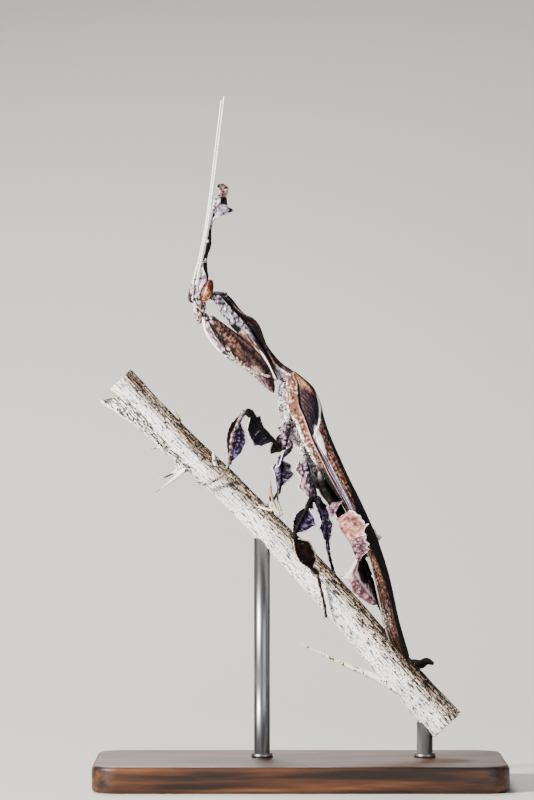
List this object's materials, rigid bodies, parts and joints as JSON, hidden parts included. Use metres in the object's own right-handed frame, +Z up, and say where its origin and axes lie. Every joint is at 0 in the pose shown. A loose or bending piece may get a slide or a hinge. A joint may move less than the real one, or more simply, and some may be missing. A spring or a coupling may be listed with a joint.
{
  "type": "ghost mantis on a display perch",
  "caption": "Life-size still model of an adult ghost mantis, head up on a short cut length of dry thistle stem, held by a flat wooden base with thin metal rods.",
  "frame": {"origin": "middle of the base's underside, on the surface that the stand rests on", "axes": "+Z up; +X from the head's side to the wing tips' side, along the stem's fall; +Y from the insect's left side to its right side"},
  "size_m": [0.046, 0.024, 0.077],
  "materials": {
    "cuticle": "matt mottled brown and mauve cuticle",
    "pale_cuticle": "matt pale cuticle with dark specks",
    "lobed_cuticle": "matt dark purple leaf-like lobes",
    "wing": "satin veined forewing, leathery",
    "eye": "glossy compound eye",
    "dry_stem": "dry grey-white ribbed plant stem",
    "base_wood": "oiled dark wood",
    "rod_steel": "brushed"
  },
  "bodies": {
    "root": {"head": "cuticle", "mouthparts": "cuticle", "eye_left": "eye", "eye_right": "eye", "crest": "lobed_cuticle", "antenna_left": "pale_cuticle", "antenna_right": "pale_cuticle", "prothorax": "cuticle", "thorax": "cuticle", "abdomen": "cuticle", "cercus_left": "cuticle", "cercus_right": "cuticle", "forewing_left": "wing", "forewing_right": "wing", "hindwing_left": "wing", "hindwing_right": "wing", "fore_coxa_left": "pale_cuticle", "fore_coxa_right": "pale_cuticle", "fore_femur_left": "cuticle", "fore_femur_right": "cuticle", "fore_tibia_left": "pale_cuticle", "fore_tibia_right": "pale_cuticle", "fore_tarsus_left": "pale_cuticle", "fore_tarsus_right": "pale_cuticle", "mid_coxa_left": "lobed_cuticle", "mid_coxa_right": "lobed_cuticle", "mid_femur_left": "lobed_cuticle", "mid_femur_right": "lobed_cuticle", "mid_tibia_left": "lobed_cuticle", "mid_tibia_right": "lobed_cuticle", "mid_tarsus_left": "lobed_cuticle", "mid_tarsus_right": "lobed_cuticle", "hind_coxa_left": "lobed_cuticle", "hind_coxa_right": "lobed_cuticle", "hind_femur_left": "lobed_cuticle", "hind_femur_right": "lobed_cuticle", "hind_tibia_left": "lobed_cuticle", "hind_tibia_right": "lobed_cuticle", "hind_tarsus_left": "lobed_cuticle", "hind_tarsus_right": "lobed_cuticle", "perch_stem": "dry_stem", "stand_base": "base_wood", "stand_rod_upper": "rod_steel", "stand_rod_lower": "rod_steel"}
  },
  "joints": []
}
